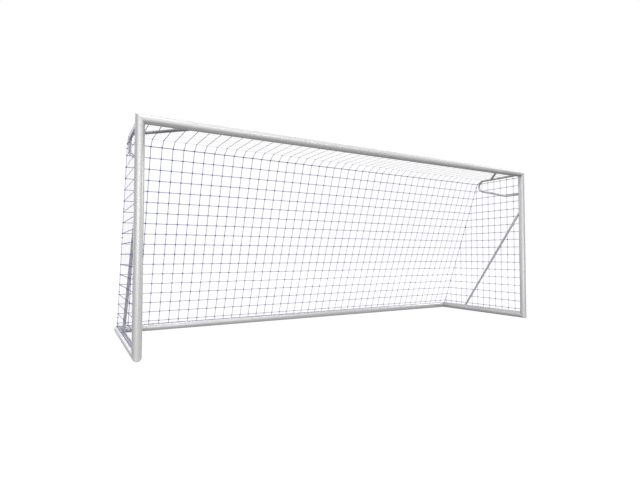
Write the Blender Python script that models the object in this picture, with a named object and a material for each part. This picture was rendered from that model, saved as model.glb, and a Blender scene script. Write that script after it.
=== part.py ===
"""Free-standing youth football goal, five metres wide and two metres high.

Round grooved tubes with mitred corners make the mouth and the ground frame. Hollow corner
connectors sit inside the tubes and are held by grub screws. Thin bent tubes carry the net
at the top, thin struts brace the posts, and the net's five flat panels hang in hooks that
stand in the tubes' grooves.

Metres, +Z up. The origin is on the ground, in the middle of the goal's footprint. The mouth
faces -Y and the left side is at -X.
"""

import math

import bmesh
import bpy
from mathutils import Vector

# Mouth and ground frame
MOUTH_WIDTH = 5.0
MOUTH_HEIGHT = 2.0
GROUND_DEPTH = 1.52
TUBE_DIAMETER = 0.080
TUBE_WALL = 0.004
TUBE_SIDES = 32

# Gaps between pieces that touch
FIT = 0.0003
MITRE_GAP = 0.0003

# Groove along each tube and the hook strip in it
GROOVE_WIDTH = 0.006
GROOVE_DEPTH = 0.0025
STRIP_HEIGHT = 0.003
HOOK_WALL = 0.0018
HOOK_WIDTH = 0.012
HOOK_LIFT = 0.0006
HOOK_ROOT = 0.0002

# Corner connectors and their grub screws
CONNECTOR_LEG = 0.120
CONNECTOR_WALL = 0.005
CONNECTOR_SIDES = 16
SCREW_DIAMETER = 0.008
SCREW_SOCKET_DIAMETER = 0.004
SCREW_SOCKET_DEPTH = 0.003
SCREW_SIDES = 8
SCREW_FROM_CORNER = 0.075

# Sides of the round rooms that are cut for a tube
ROOM_SIDES = 64

# Thin tubes: hoops and braces, then struts
BAR_DIAMETER = 0.030
BAR_WALL = 0.002
STRUT_DIAMETER = 0.030
STRUT_WALL = 0.002
BAR_SIDES = 16
BAR_INSET = 0.003

# Net hoops: the bend's and the kink's depths are from the post's axis
HOOP_BEND_DEPTH = 0.653
HOOP_BEND_RADIUS = 0.082
HOOP_BEND_STEPS = 10
HOOP_KINK_DEPTH = 0.256
HOOP_KINK_DROP = 0.2795
HOOP_KINK_RADIUS = 0.050
HOOP_KINK_STEPS = 3

# Top braces run at 45 degrees from the crossbar to the hoops
BRACE_REACH = 0.514
BRACE_DROP = 0.0045

# Struts: height on the post's axis and depth on the ground tube's axis
STRUT_TOP_HEIGHT = 1.541
STRUT_FOOT_DEPTH = 1.064

# Net: cord, clearances to the thin tubes, panel edges and mesh
CORD = 0.004
SIDE_CLEARANCE = 0.0033
BEND_CLEARANCE = 0.0063
ROOF_RISE = 0.0153
SHOULDER_TILT = math.radians(30.2)
SHOULDER_DROP = 0.055
MESH_CELLS_WIDE = 46
MESH_DEPTH_PITCH = 0.1105
MESH_HEIGHT_PITCH = 0.1107
CELLS_PER_STRAND = 2
CELLS_PER_HOOK = 3
NODE_SPACING = 0.020

# Sizes that follow from those above
TUBE_RADIUS = TUBE_DIAMETER / 2
CORNER_RADIUS = TUBE_RADIUS / math.cos(math.pi / TUBE_SIDES)
BORE_RADIUS = TUBE_RADIUS - TUBE_WALL
POST_X = MOUTH_WIDTH / 2 + TUBE_RADIUS
BAR_Z = MOUTH_HEIGHT + TUBE_RADIUS
GROUND_Z = TUBE_RADIUS
BAR_RADIUS = BAR_DIAMETER / 2
STRUT_RADIUS = STRUT_DIAMETER / 2
BAR_CORNER_RADIUS = BAR_RADIUS / math.cos(math.pi / BAR_SIDES)
STRUT_CORNER_RADIUS = STRUT_RADIUS / math.cos(math.pi / BAR_SIDES)
BAR_X = POST_X - BAR_INSET
NET_OUTSET = max(BAR_CORNER_RADIUS, STRUT_CORNER_RADIUS) - BAR_INSET + SIDE_CLEARANCE + CORD / 2
NET_X = POST_X + NET_OUTSET
PANEL_X = NET_X - CORD - FIT
ROOF_Z = BAR_Z + ROOF_RISE
HOOP_Z = ROOF_Z - CORD / 2 - FIT - BAR_RADIUS
HOOP_KINK_Z = HOOP_Z - HOOP_KINK_DROP
BRACE_Z = BAR_Z - BRACE_DROP

# The shoulder panel passes the hoops' bend at this distance from the bend's centre
SHOULDER_REACH = HOOP_BEND_RADIUS + BAR_CORNER_RADIUS + BEND_CLEARANCE + CORD / 2
SHOULDER_RISE = (ROOF_Z - HOOP_Z + HOOP_BEND_RADIUS) * math.cos(SHOULDER_TILT)
ROOF_DEPTH = HOOP_BEND_DEPTH + (SHOULDER_REACH - SHOULDER_RISE) / math.sin(SHOULDER_TILT)
SHOULDER_DEPTH = ROOF_DEPTH + SHOULDER_DROP / math.tan(SHOULDER_TILT)
SHOULDER_HEIGHT = ROOF_Z - SHOULDER_DROP

# Hook section, as distances from the tube's axis
HOOK_FLOOR = CORNER_RADIUS + HOOK_LIFT
ROPE_RADIUS = HOOK_FLOOR + HOOK_WALL + FIT + CORD / 2
HOOK_LIP = ROPE_RADIUS + CORD / 2 + FIT
HOOK_TOP = HOOK_LIP + HOOK_WALL

# Angles of the grooves, from the direction in which the net leaves the tube
ROOF_ANGLE = math.asin(ROOF_RISE / ROPE_RADIUS)
SIDE_ANGLE = math.asin(NET_OUTSET / ROPE_RADIUS)
BACK_ANGLE = math.atan2(GROUND_DEPTH - SHOULDER_DEPTH, SHOULDER_HEIGHT - GROUND_Z)

X = Vector((1, 0, 0))
Y = Vector((0, 1, 0))
Z = Vector((0, 0, 1))
SIDES = (("left", -1), ("right", 1))


def clear_scene():
    """Remove every object, so that the script always starts from nothing."""
    for item in list(bpy.data.objects):
        bpy.data.objects.remove(item, do_unlink=True)


def make_material(name, colour, roughness, metallic):
    """Principled material with one colour."""
    material = bpy.data.materials.new(name)
    material.use_nodes = True
    shader = material.node_tree.nodes["Principled BSDF"]
    shader.inputs["Base Color"].default_value = (*colour, 1)
    shader.inputs["Roughness"].default_value = roughness
    shader.inputs["Metallic"].default_value = metallic
    return material


def add_object(name, mesh_data, colour, smooth_angle=30):
    """Turn a bmesh into a named object with its own material."""
    bmesh.ops.recalc_face_normals(mesh_data, faces=mesh_data.faces)
    mesh = bpy.data.meshes.new(name)
    mesh_data.to_mesh(mesh)
    mesh_data.free()
    item = bpy.data.objects.new(name, mesh)
    bpy.context.scene.collection.objects.link(item)
    if colour:
        mesh.materials.append(make_material(name, *colour))
    mesh.shade_smooth()
    mesh.set_sharp_from_angle(angle=math.radians(smooth_angle))
    return item


def hide_cutter(item):
    """Mark an object as a cutter that isn't a piece of the goal."""
    item.hide_render = True
    item.display_type = "WIRE"
    return item


def add_boolean(item, other, operation):
    """Cut another solid out of an object, or join it on."""
    modifier = item.modifiers.new(other.name, "BOOLEAN")
    modifier.operation = operation
    modifier.object = other
    modifier.solver = "EXACT"


def at(x, depth, z):
    """A point given by its depth behind the posts' axis."""
    return Vector((x, depth - GROUND_DEPTH / 2, z))


ALUMINIUM = ((0.80, 0.80, 0.79), 0.32, 0.85)
DARK_ALUMINIUM = ((0.55, 0.56, 0.57), 0.45, 0.85)
STEEL = ((0.35, 0.35, 0.36), 0.40, 1.0)
PLASTIC = ((0.10, 0.10, 0.12), 0.55, 0.0)
BLUE_CORD = ((0.10, 0.10, 0.36), 0.80, 0.0)


# Tubes with a groove

def circle_points(radius, sides):
    """Corners of a polygon that has a flat side on each axis."""
    step = 2 * math.pi / sides
    return [(radius * math.cos((i + 0.5) * step), radius * math.sin((i + 0.5) * step)) for i in range(sides)]


def grooved_section(groove_angle):
    """Pairs of outer and inner points round a tube that has a groove at one angle."""
    half_width = GROOVE_WIDTH / 2
    lip_angle = math.asin(half_width / CORNER_RADIUS)
    floor = TUBE_RADIUS - GROOVE_DEPTH
    floor_radius = math.hypot(floor, half_width)
    floor_angle = math.atan2(half_width, floor)
    step = 2 * math.pi / TUBE_SIDES
    keep_clear = lip_angle + step / 6
    polar = [
        (-lip_angle, CORNER_RADIUS),
        (-floor_angle, floor_radius),
        (floor_angle, floor_radius),
        (lip_angle, CORNER_RADIUS),
    ]
    corners = []
    for i in range(TUBE_SIDES):
        angle = ((i + 0.5) * step - groove_angle + math.pi) % (2 * math.pi) - math.pi
        if abs(angle) > keep_clear:
            corners.append((angle % (2 * math.pi), CORNER_RADIUS))
    outline = polar + sorted(corners)
    pairs = []
    for angle, radius in outline:
        turned = angle + groove_angle
        direction = (math.cos(turned), math.sin(turned))
        outer = (radius * direction[0], radius * direction[1])
        inner = (BORE_RADIUS * direction[0], BORE_RADIUS * direction[1])
        pairs.append((outer, inner))
    return pairs


def ring_faces(mesh_data, first, second):
    """Quads between two rings of vertices."""
    count = len(first)
    for i in range(count):
        j = (i + 1) % count
        mesh_data.faces.new((first[i], first[j], second[j], second[i]))


def mitred_tube(name, start, end, side, up, groove_angle, start_normal, end_normal):
    """Hollow grooved tube whose ends lie in the corners' mitre planes."""
    axis = (end - start).normalized()
    mesh_data = bmesh.new()
    rings = []
    for corner, normal in ((start, start_normal), (end, end_normal)):
        into_tube = (end - start) if corner is start else (start - end)
        facing = normal if normal.dot(into_tube) > 0 else -normal
        plane_point = corner + facing.normalized() * (MITRE_GAP / 2)
        for index in (0, 1):
            ring = []
            for pair in grooved_section(groove_angle):
                base = start + side * pair[index][0] + up * pair[index][1]
                along = (plane_point - base).dot(facing) / axis.dot(facing)
                ring.append(mesh_data.verts.new(base + axis * along))
            rings.append(ring)
    outer_start, inner_start, outer_end, inner_end = rings
    ring_faces(mesh_data, outer_start, outer_end)
    ring_faces(mesh_data, inner_end, inner_start)
    ring_faces(mesh_data, inner_start, outer_start)
    ring_faces(mesh_data, outer_end, inner_end)
    return add_object(name, mesh_data, ALUMINIUM, 20)


# Round tubes along a flat path

def path_rings(mesh_data, points, normal, radius, sides):
    """Rings of a round tube along a flat path, mitred at each bend."""
    rings = []
    for i, point in enumerate(points):
        before = (point - points[i - 1]).normalized() if i else None
        after = (points[i + 1] - point).normalized() if i + 1 < len(points) else None
        first = before or after
        last = after or before
        forward = (first + last).normalized()
        stretch = 1 / forward.dot(last)
        sideways = forward.cross(normal)
        ring = []
        for a, b in circle_points(radius / math.cos(math.pi / sides), sides):
            ring.append(mesh_data.verts.new(point + sideways * (a * stretch) + normal * b))
        rings.append(ring)
    return rings


def hollow_path(name, points, normal, radius, wall, sides, colour):
    """Hollow round tube along a flat path, open at both ends."""
    mesh_data = bmesh.new()
    outer = path_rings(mesh_data, points, normal, radius, sides)
    inner = path_rings(mesh_data, points, normal, radius - wall, sides)
    for i in range(len(points) - 1):
        ring_faces(mesh_data, outer[i], outer[i + 1])
        ring_faces(mesh_data, inner[i + 1], inner[i])
    ring_faces(mesh_data, inner[0], outer[0])
    ring_faces(mesh_data, outer[-1], inner[-1])
    return add_object(name, mesh_data, colour)


def cutter_rod(name, start, end, radius, sides):
    """Solid rod that stands for the room a round piece takes."""
    normal = (end - start).orthogonal().normalized()
    mesh_data = bmesh.new()
    rings = path_rings(mesh_data, [start, end], normal, radius, sides)
    ring_faces(mesh_data, rings[0], rings[1])
    for ring in rings:
        mesh_data.faces.new(ring)
    return hide_cutter(add_object(name, mesh_data, None))


def arc(centre, first, second, radius, angle, steps):
    """Points of an arc that starts at centre + first and turns towards second."""
    points = []
    for i in range(steps + 1):
        turn = angle * i / steps
        points.append(centre + first * (radius * math.cos(turn)) + second * (radius * math.sin(turn)))
    return points


# Mouth and ground frame

def corner_points():
    """The six corners of the frame, by name."""
    points = {}
    for side, sign in SIDES:
        points[side + "_top"] = at(sign * POST_X, 0, BAR_Z)
        points[side + "_front"] = at(sign * POST_X, 0, GROUND_Z)
        points[side + "_rear"] = at(sign * POST_X, GROUND_DEPTH, GROUND_Z)
    return points


def build_frame(corners):
    """Posts, crossbar and ground tubes. Groove angles are measured from the section's side axis."""
    tubes = {}
    for side, sign in SIDES:
        top, front, rear = (corners[side + end] for end in ("_top", "_front", "_rear"))
        outward = X * sign
        tubes[side + "_post"] = mitred_tube(
            side + "_post", front, top, Y, outward, SIDE_ANGLE, Y - Z, outward - Z)
        tubes[side + "_ground_tube"] = mitred_tube(
            side + "_ground_tube", front, rear, Z, outward, SIDE_ANGLE, Y - Z, outward - Y)
    tubes["crossbar"] = mitred_tube(
        "crossbar", corners["left_top"], corners["right_top"], Y, Z, ROOF_ANGLE, X + Z, X - Z)
    tubes["rear_ground_tube"] = mitred_tube(
        "rear_ground_tube", corners["left_rear"], corners["right_rear"], Z, -Y, BACK_ANGLE, X + Y, X - Y)
    return tubes


def build_corners(corners, tubes):
    """Connectors inside the mitred corners, each held by two grub screws."""
    joints = []
    for side, sign in SIDES:
        inward = -X * sign
        joints.append((side + "_top", side + "_post", -Z, Y, "crossbar", inward, Y))
        joints.append((side + "_front", side + "_post", Z, Y, side + "_ground_tube", Y, -Z))
        joints.append((side + "_rear", side + "_ground_tube", -Y, -Z, "rear_ground_tube", inward, -Z))
    for place, first_tube, first_way, first_face, second_tube, second_way, second_face in joints:
        corner = corners[place]
        connector = hollow_path(
            place + "_connector",
            [corner + first_way * CONNECTOR_LEG, corner, corner + second_way * CONNECTOR_LEG],
            first_way.cross(second_way),
            (BORE_RADIUS - FIT) * math.cos(math.pi / CONNECTOR_SIDES),
            CONNECTOR_WALL,
            CONNECTOR_SIDES,
            DARK_ALUMINIUM,
        )
        legs = ((first_tube, first_way, first_face, "a"), (second_tube, second_way, second_face, "b"))
        for tube, way, face, letter in legs:
            foot = corner + way * SCREW_FROM_CORNER
            cutter = cutter_rod(
                place + "_screw_hole_" + letter,
                foot + face * (BORE_RADIUS - 2 * CONNECTOR_WALL),
                foot + face * (TUBE_RADIUS + CONNECTOR_WALL),
                SCREW_DIAMETER / 2 + FIT,
                SCREW_SIDES,
            )
            add_boolean(tubes[tube], cutter, "DIFFERENCE")
            add_boolean(connector, cutter, "DIFFERENCE")
            build_screw(place + "_screw_" + letter, foot, face)


def build_screw(name, foot, face):
    """Grub screw, flush with the tube, with a socket in its outer end."""
    low = foot + face * (BORE_RADIUS - CONNECTOR_WALL)
    high = foot + face * (TUBE_RADIUS - FIT)
    floor = high - face * SCREW_SOCKET_DEPTH
    normal = (high - low).orthogonal().normalized()
    mesh_data = bmesh.new()
    shank = path_rings(mesh_data, [low, high], normal, SCREW_DIAMETER / 2, SCREW_SIDES)
    socket = path_rings(mesh_data, [floor, high], normal, SCREW_SOCKET_DIAMETER / 2, SCREW_SIDES)
    ring_faces(mesh_data, shank[0], shank[1])
    ring_faces(mesh_data, shank[1], socket[1])
    ring_faces(mesh_data, socket[1], socket[0])
    mesh_data.faces.new(shank[0])
    mesh_data.faces.new(socket[0])
    add_object(name, mesh_data, STEEL)


# Thin tubes

def hoop_path(x):
    """Top bar, bend, sloping lower bar, kink and level end of a net hoop."""
    centre = at(x, HOOP_BEND_DEPTH, HOOP_Z - HOOP_BEND_RADIUS)
    kink = at(x, HOOP_KINK_DEPTH, HOOP_KINK_Z)
    offset = centre - kink
    slope = math.atan2(offset.z, offset.y) - math.asin(HOOP_BEND_RADIUS / offset.length)
    bend = arc(centre, Z, Y, HOOP_BEND_RADIUS, math.pi - slope, HOOP_BEND_STEPS)
    back_off = HOOP_KINK_RADIUS * math.tan(slope / 2)
    bar_way = Y * math.cos(slope) + Z * math.sin(slope)
    kink_start = kink + bar_way * back_off
    up = Z * math.cos(slope) - Y * math.sin(slope)
    kink_centre = kink_start + up * HOOP_KINK_RADIUS
    forward = -bar_way
    knee = arc(kink_centre, -up, forward, HOOP_KINK_RADIUS, slope, HOOP_KINK_STEPS)
    return [at(x, 0, HOOP_Z)] + bend + knee + [at(x, 0, HOOP_KINK_Z)]


def build_bars():
    """Net hoops, top braces and struts, with ends cut to fit the round tubes."""
    room = CORNER_RADIUS / math.cos(math.pi / ROOM_SIDES) + FIT
    over = TUBE_DIAMETER
    crossbar_room = cutter_rod(
        "crossbar_room", at(-POST_X - over, 0, BAR_Z), at(POST_X + over, 0, BAR_Z), room, ROOM_SIDES)
    for side, sign in SIDES:
        x = sign * BAR_X
        post_x = sign * POST_X
        post_room = cutter_rod(
            side + "_post_room", at(post_x, 0, -over), at(post_x, 0, BAR_Z + over), room, ROOM_SIDES)
        ground_room = cutter_rod(
            side + "_ground_room", at(post_x, -over, GROUND_Z), at(post_x, GROUND_DEPTH, GROUND_Z),
            room, ROOM_SIDES)
        hoop = hollow_path(
            side + "_net_hoop", hoop_path(x), X, BAR_RADIUS, BAR_WALL, BAR_SIDES, ALUMINIUM)
        add_boolean(hoop, post_room, "DIFFERENCE")
        add_boolean(hoop, crossbar_room, "DIFFERENCE")

        hoop_end = at(x, BRACE_REACH, BRACE_Z)
        bar_end = at(x - sign * BRACE_REACH, 0, BRACE_Z)
        brace = hollow_path(
            side + "_top_brace", [bar_end, hoop_end], Z, BAR_RADIUS, BAR_WALL, BAR_SIDES, ALUMINIUM)
        hoop_room = cutter_rod(
            side + "_hoop_room", at(x, 0, HOOP_Z), at(x, HOOP_BEND_DEPTH, HOOP_Z),
            BAR_CORNER_RADIUS + FIT, 2 * BAR_SIDES)
        add_boolean(brace, crossbar_room, "DIFFERENCE")
        add_boolean(brace, hoop_room, "DIFFERENCE")

        strut = hollow_path(
            side + "_strut", [at(x, 0, STRUT_TOP_HEIGHT), at(x, STRUT_FOOT_DEPTH, GROUND_Z)],
            X, STRUT_RADIUS, STRUT_WALL, BAR_SIDES, ALUMINIUM)
        add_boolean(strut, post_room, "DIFFERENCE")
        add_boolean(strut, ground_room, "DIFFERENCE")


# Hook strips

def box_between(mesh_data, low, high, axes):
    """Box between two corners given along three axes from an origin."""
    origin, first, second, third = axes
    corners = []
    for a in (low[0], high[0]):
        for b, c in ((low[1], low[2]), (high[1], low[2]), (high[1], high[2]), (low[1], high[2])):
            corners.append(mesh_data.verts.new(origin + first * a + second * b + third * c))
    mesh_data.faces.new(corners[0:4])
    mesh_data.faces.new(corners[4:8])
    ring_faces(mesh_data, corners[0:4], corners[4:8])


def hook_strip(name, start, end, out, stem_way, hooks):
    """Strip that fills a tube's groove, with a hook over the net's edge at each place."""
    along = (end - start).normalized()
    half = GROOVE_WIDTH / 2 - FIT
    low = TUBE_RADIUS - GROOVE_DEPTH + FIT
    top = max(low + STRIP_HEIGHT, HOOK_FLOOR + HOOK_ROOT)
    strip_data = bmesh.new()
    length = (end - start).length
    box_between(strip_data, (0, low, -half), (length, top, half), (start, along, out, stem_way))
    strip = add_object(name, strip_data, PLASTIC)

    inner = CORD / 2 + FIT
    outline = [
        (HOOK_FLOOR, inner + HOOK_WALL),
        (HOOK_TOP, inner + HOOK_WALL),
        (HOOK_TOP, -CORD / 2),
        (HOOK_LIP, -CORD / 2),
        (HOOK_LIP, inner),
        (HOOK_FLOOR + HOOK_WALL, inner),
        (HOOK_FLOOR + HOOK_WALL, -CORD / 2),
        (HOOK_FLOOR, -CORD / 2),
    ]
    hook_data = bmesh.new()
    for place in hooks:
        rings = []
        for shift in (-HOOK_WIDTH / 2, HOOK_WIDTH / 2):
            centre = start + along * (place + shift)
            rings.append([hook_data.verts.new(centre + out * r + stem_way * t) for r, t in outline])
        ring_faces(hook_data, rings[0], rings[1])
        hook_data.faces.new(rings[0])
        hook_data.faces.new(rings[1])
    shapes = hide_cutter(add_object(name + "_hooks", hook_data, None))
    add_boolean(strip, shapes, "UNION")


def hook_places(first, last, pitch, low, high):
    """Middles of every third mesh cell from first to last that lie within the strip."""
    places = []
    count = int(round((last - first) / pitch))
    for cell in range(0, count, CELLS_PER_HOOK):
        place = first + (cell + 0.5) * pitch
        if low + HOOK_WIDTH < place < high - HOOK_WIDTH:
            places.append(place - low)
    return places


def build_strips():
    """Hook strips in the grooves of all six tubes."""
    cell = 2 * PANEL_X / MESH_CELLS_WIDE
    long_end = MOUTH_WIDTH / 2
    wide = hook_places(-PANEL_X, PANEL_X, cell, -long_end, long_end)
    out = Y * math.cos(ROOF_ANGLE) + Z * math.sin(ROOF_ANGLE)
    hook_strip(
        "crossbar_hook_strip", at(-long_end, 0, BAR_Z), at(long_end, 0, BAR_Z),
        out, out.cross(-X), wide)
    out = Z * math.cos(BACK_ANGLE) - Y * math.sin(BACK_ANGLE)
    hook_strip(
        "rear_hook_strip", at(-long_end, GROUND_DEPTH, GROUND_Z), at(long_end, GROUND_DEPTH, GROUND_Z),
        out, out.cross(-X), wide)

    strip_low = GROUND_Z + TUBE_DIAMETER
    strip_high = MOUTH_HEIGHT - TUBE_RADIUS / 2
    rows_down = int((SHOULDER_HEIGHT - strip_low) / MESH_HEIGHT_PITCH)
    row_zero = SHOULDER_HEIGHT - rows_down * MESH_HEIGHT_PITCH
    tall = hook_places(row_zero, SHOULDER_HEIGHT, MESH_HEIGHT_PITCH, strip_low, strip_high)
    near = TUBE_DIAMETER
    far = GROUND_DEPTH - TUBE_DIAMETER
    columns_forward = int((ROOF_DEPTH - near) / MESH_DEPTH_PITCH)
    column_zero = ROOF_DEPTH - columns_forward * MESH_DEPTH_PITCH
    deep = hook_places(column_zero, far, MESH_DEPTH_PITCH, near, far)
    for side, sign in SIDES:
        outward = X * sign
        post_x = sign * POST_X
        out = Y * math.cos(SIDE_ANGLE) + outward * math.sin(SIDE_ANGLE)
        stem = outward * math.cos(SIDE_ANGLE) - Y * math.sin(SIDE_ANGLE)
        hook_strip(
            side + "_post_hook_strip", at(post_x, 0, strip_low), at(post_x, 0, strip_high),
            out, stem, tall)
        out = Z * math.cos(SIDE_ANGLE) + outward * math.sin(SIDE_ANGLE)
        stem = outward * math.cos(SIDE_ANGLE) - Z * math.sin(SIDE_ANGLE)
        hook_strip(
            side + "_ground_hook_strip", at(post_x, near, GROUND_Z), at(post_x, far, GROUND_Z),
            out, stem, deep)


# Net panels

def net_panel(name, nodes, links, normal):
    """One flat closed lattice of four-sided strands between the nodes of a net."""
    half = CORD / 2
    near = {i: [] for i in range(len(nodes))}
    for a, b in links:
        near[a].append(b)
        near[b].append(a)
    across = (nodes[links[0][1]] - nodes[links[0][0]]).normalized()
    beside = normal.cross(across)

    def bearing(a, b):
        way = nodes[b] - nodes[a]
        return math.atan2(way.dot(beside), way.dot(across)) % (2 * math.pi)

    mesh_data = bmesh.new()
    top = {}
    base = {}
    left = {}
    right = {}
    for i, others in near.items():
        top[i] = mesh_data.verts.new(nodes[i] + normal * half)
        base[i] = mesh_data.verts.new(nodes[i] - normal * half)
        ordered = sorted(others, key=lambda j: bearing(i, j))
        for k, j in enumerate(ordered):
            following = ordered[(k + 1) % len(ordered)]
            spread = (bearing(i, following) - bearing(i, j)) % (2 * math.pi)
            middle = bearing(i, j) + spread / 2
            way = across * math.cos(middle) + beside * math.sin(middle)
            corner = mesh_data.verts.new(nodes[i] + way * (half / math.sin(spread / 2)))
            left[i, j] = corner
            right[i, following] = corner
    for a, b in links:
        mesh_data.faces.new((top[a], top[b], right[b, a], left[a, b]))
        mesh_data.faces.new((top[b], top[a], right[a, b], left[b, a]))
        mesh_data.faces.new((base[b], base[a], left[a, b], right[b, a]))
        mesh_data.faces.new((base[a], base[b], left[b, a], right[a, b]))
    return add_object(name, mesh_data, BLUE_CORD, 20)


def grid_net(name, first, second, rows, columns, normal):
    """Four-sided panel: rows and columns are shares of the way along its two edges."""
    nodes = []
    for row in rows:
        for column in columns:
            nodes.append(first[0].lerp(first[1], column).lerp(second[0].lerp(second[1], column), row))
    wide = len(columns)
    links = []
    for r in range(len(rows)):
        for c in range(wide):
            if c + 1 < wide:
                links.append((r * wide + c, r * wide + c + 1))
            if r + 1 < len(rows):
                links.append((r * wide + c, (r + 1) * wide + c))
    return net_panel(name, nodes, links, normal)


def steps_between(low, high, start, pitch):
    """Values start, start + pitch, ... that stay clear of low and high."""
    first = math.ceil((low - start) / pitch)
    last = math.floor((high - start) / pitch)
    values = [start + i * pitch for i in range(first, last + 1)]
    return [value for value in values if low + NODE_SPACING < value < high - NODE_SPACING]


def cross_net(outline, rows, columns):
    """Edge nodes and lines of a net of level rows and upright columns inside a convex outline.

    The outline is a list of (depth, height) corners. Rows are heights and columns depths. Where
    a line would meet the edge right beside another node, it ends in that node.
    """
    edge = list(outline)
    count = len(outline)

    def ends(axis, value):
        found = []
        for i in range(count):
            a, b = outline[i], outline[(i + 1) % count]
            if min(a[axis], b[axis]) <= value < max(a[axis], b[axis]):
                share = (value - a[axis]) / (b[axis] - a[axis])
                found.append(a[1 - axis] + (b[1 - axis] - a[1 - axis]) * share)
        return sorted(found)

    def edge_node(point):
        nearest = min(edge, key=lambda other: math.dist(point, other))
        if math.dist(point, nearest) < NODE_SPACING:
            return nearest
        edge.append(point)
        return point

    row_ends = {row: ends(1, row) for row in rows}
    column_ends = {column: ends(0, column) for column in columns}
    margin = NODE_SPACING / 2

    def crosses(column, row):
        near, far = row_ends[row]
        low, high = column_ends[column]
        return near + margin < column < far - margin and low + margin < row < high - margin

    lines = []
    for row in rows:
        near, far = row_ends[row]
        line = [(column, row) for column in columns if crosses(column, row)]
        lines.append([edge_node((near, row))] + line + [edge_node((far, row))])
    for column in columns:
        low, high = column_ends[column]
        line = [(column, row) for row in sorted(rows) if crosses(column, row)]
        lines.append([edge_node((column, low))] + line + [edge_node((column, high))])
    return edge, lines


def side_panel(name, x, outline, rows, columns, normal):
    """Side net: level rows and upright columns, ending on the sloping rear edge."""
    edge, lines = cross_net(outline, rows, columns)
    middle = (sum(p[0] for p in outline) / len(outline), sum(p[1] for p in outline) / len(outline))
    rim = sorted(edge, key=lambda p: math.atan2(p[1] - middle[1], p[0] - middle[0]))
    index = {}

    def number(point):
        return index.setdefault(point, len(index))

    links = set()
    for line in [rim + rim[:1]] + lines:
        for a, b in zip(line, line[1:]):
            links.add((number(a), number(b)))
    nodes = [at(x, *point) for point in index]
    return net_panel(name, nodes, sorted(links), normal)


def build_nets():
    """Roof, shoulder, back and two side panels, each flat and laced edge to edge."""
    half_seam = CORD / 2 + FIT
    strands = MESH_CELLS_WIDE // CELLS_PER_STRAND
    wide = [i / strands for i in range(strands + 1)]
    front = ROPE_RADIUS * math.cos(ROOF_ANGLE)
    foot = (
        GROUND_DEPTH - ROPE_RADIUS * math.sin(BACK_ANGLE),
        GROUND_Z + ROPE_RADIUS * math.cos(BACK_ANGLE),
    )

    def edge(depth, z):
        return at(-PANEL_X, depth, z), at(PANEL_X, depth, z)

    def shares(length, pitch):
        cells = max(1, round(length / pitch))
        return [i / cells for i in range(cells + 1)]

    deep = CELLS_PER_STRAND * MESH_DEPTH_PITCH
    tall = CELLS_PER_STRAND * MESH_HEIGHT_PITCH
    roof_rear = ROOF_DEPTH - half_seam
    grid_net(
        "roof_net", edge(front, ROOF_Z), edge(roof_rear, ROOF_Z),
        shares(roof_rear - front, deep), wide, Z)

    slope = Vector((0, SHOULDER_DEPTH - ROOF_DEPTH, SHOULDER_HEIGHT - ROOF_Z)).normalized()
    upper = edge(ROOF_DEPTH + slope.y * half_seam, ROOF_Z + slope.z * half_seam)
    lower = edge(SHOULDER_DEPTH - slope.y * half_seam, SHOULDER_HEIGHT - slope.z * half_seam)
    grid_net("shoulder_net", upper, lower, [0, 1], wide, X.cross(slope).normalized())

    fall = Vector((0, foot[0] - SHOULDER_DEPTH, foot[1] - SHOULDER_HEIGHT))
    down = fall.normalized()
    upper = edge(SHOULDER_DEPTH + down.y * half_seam, SHOULDER_HEIGHT + down.z * half_seam)
    rows = [0]
    height = SHOULDER_HEIGHT
    while height - tall > foot[1] + tall / 2:
        height -= tall
        rows.append((SHOULDER_HEIGHT - height) / (SHOULDER_HEIGHT - foot[1]))
    grid_net("back_net", upper, edge(*foot), rows + [1], wide, X.cross(down).normalized())

    low = GROUND_Z + ROPE_RADIUS * math.cos(SIDE_ANGLE)
    near = ROPE_RADIUS * math.cos(SIDE_ANGLE)
    share = (SHOULDER_HEIGHT - low) / (SHOULDER_HEIGHT - foot[1])
    rear = SHOULDER_DEPTH + (foot[0] - SHOULDER_DEPTH) * share
    outline = [
        (near, low),
        (near, ROOF_Z),
        (ROOF_DEPTH, ROOF_Z),
        (SHOULDER_DEPTH, SHOULDER_HEIGHT),
        (rear, low),
    ]
    rows = steps_between(low, ROOF_Z, SHOULDER_HEIGHT, tall)
    columns = steps_between(near, rear, ROOF_DEPTH, deep)
    for side, sign in SIDES:
        side_panel(side + "_side_net", sign * NET_X, outline, rows, columns, X)


def build_goal():
    """The whole goal, piece by piece."""
    clear_scene()
    corners = corner_points()
    tubes = build_frame(corners)
    build_corners(corners, tubes)
    build_bars()
    build_strips()
    build_nets()


build_goal()
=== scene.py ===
"""Looks of a free-standing youth soccer goal: extruded tubes, welds, hooks and a full net.

Everything is in metres: +Z is up, the mouth faces -Y and the left side is at -X. Depth means the
distance behind the posts' axis.
"""

import math
import random

import bmesh
import bpy
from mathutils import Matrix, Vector


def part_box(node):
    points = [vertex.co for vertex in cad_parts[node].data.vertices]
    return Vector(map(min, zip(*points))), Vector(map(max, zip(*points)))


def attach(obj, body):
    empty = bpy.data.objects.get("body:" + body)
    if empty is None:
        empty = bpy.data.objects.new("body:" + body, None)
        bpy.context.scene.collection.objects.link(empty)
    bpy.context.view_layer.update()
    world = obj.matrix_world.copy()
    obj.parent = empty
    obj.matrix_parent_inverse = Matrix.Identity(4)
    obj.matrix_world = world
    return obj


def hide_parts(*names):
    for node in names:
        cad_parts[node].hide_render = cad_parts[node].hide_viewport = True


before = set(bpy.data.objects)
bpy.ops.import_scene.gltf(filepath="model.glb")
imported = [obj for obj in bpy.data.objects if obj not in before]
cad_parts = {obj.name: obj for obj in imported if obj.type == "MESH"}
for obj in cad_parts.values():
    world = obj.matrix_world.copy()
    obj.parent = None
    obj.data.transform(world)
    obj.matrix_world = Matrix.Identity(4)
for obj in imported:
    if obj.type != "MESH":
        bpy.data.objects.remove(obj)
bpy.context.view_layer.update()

X = Vector((1, 0, 0))
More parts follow.
